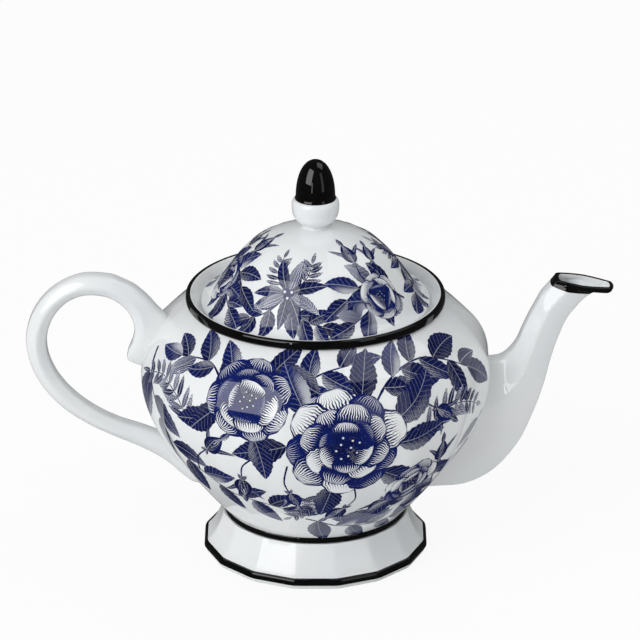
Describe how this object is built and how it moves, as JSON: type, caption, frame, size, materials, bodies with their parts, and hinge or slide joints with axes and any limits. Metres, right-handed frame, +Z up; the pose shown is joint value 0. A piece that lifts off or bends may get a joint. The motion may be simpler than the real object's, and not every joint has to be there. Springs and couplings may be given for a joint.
{
  "type": "teapot",
  "caption": "Panelled porcelain teapot with a flared foot, faceted gooseneck spout, ring handle with a thumb spur, and a lift-off domed lid with an egg-in-cup knob.",
  "frame": {"origin": "on the bowl's axis, at the plane that the foot's rim stands on", "axes": "+Z up along the bowl's axis, +X towards the spout, -X towards the handle"},
  "size_m": [0.2536, 0.1504, 0.1801],
  "materials": {
    "printed_porcelain": "white glazed porcelain with a blue and black printed decoration",
    "white_porcelain": "glossy white glaze",
    "black_glaze": "glossy black glaze"
  },
  "bodies": {
    "pot": {"bowl": "printed_porcelain", "foot": "white_porcelain", "spout": "white_porcelain", "handle": "white_porcelain", "rim_band": "black_glaze", "waist_band": "black_glaze", "foot_band": "black_glaze", "spout_lip_band": "black_glaze"},
    "lid": {"lid_dome": "printed_porcelain", "lid_flange": "white_porcelain", "knob_cup": "white_porcelain", "knob_tip": "black_glaze"}
  },
  "joints": [
    {"name": "lid_lift", "type": "slide", "parent": "pot", "child": "lid", "axis": [0, 0, 1], "range_m": [0, 0.08]}
  ]
}
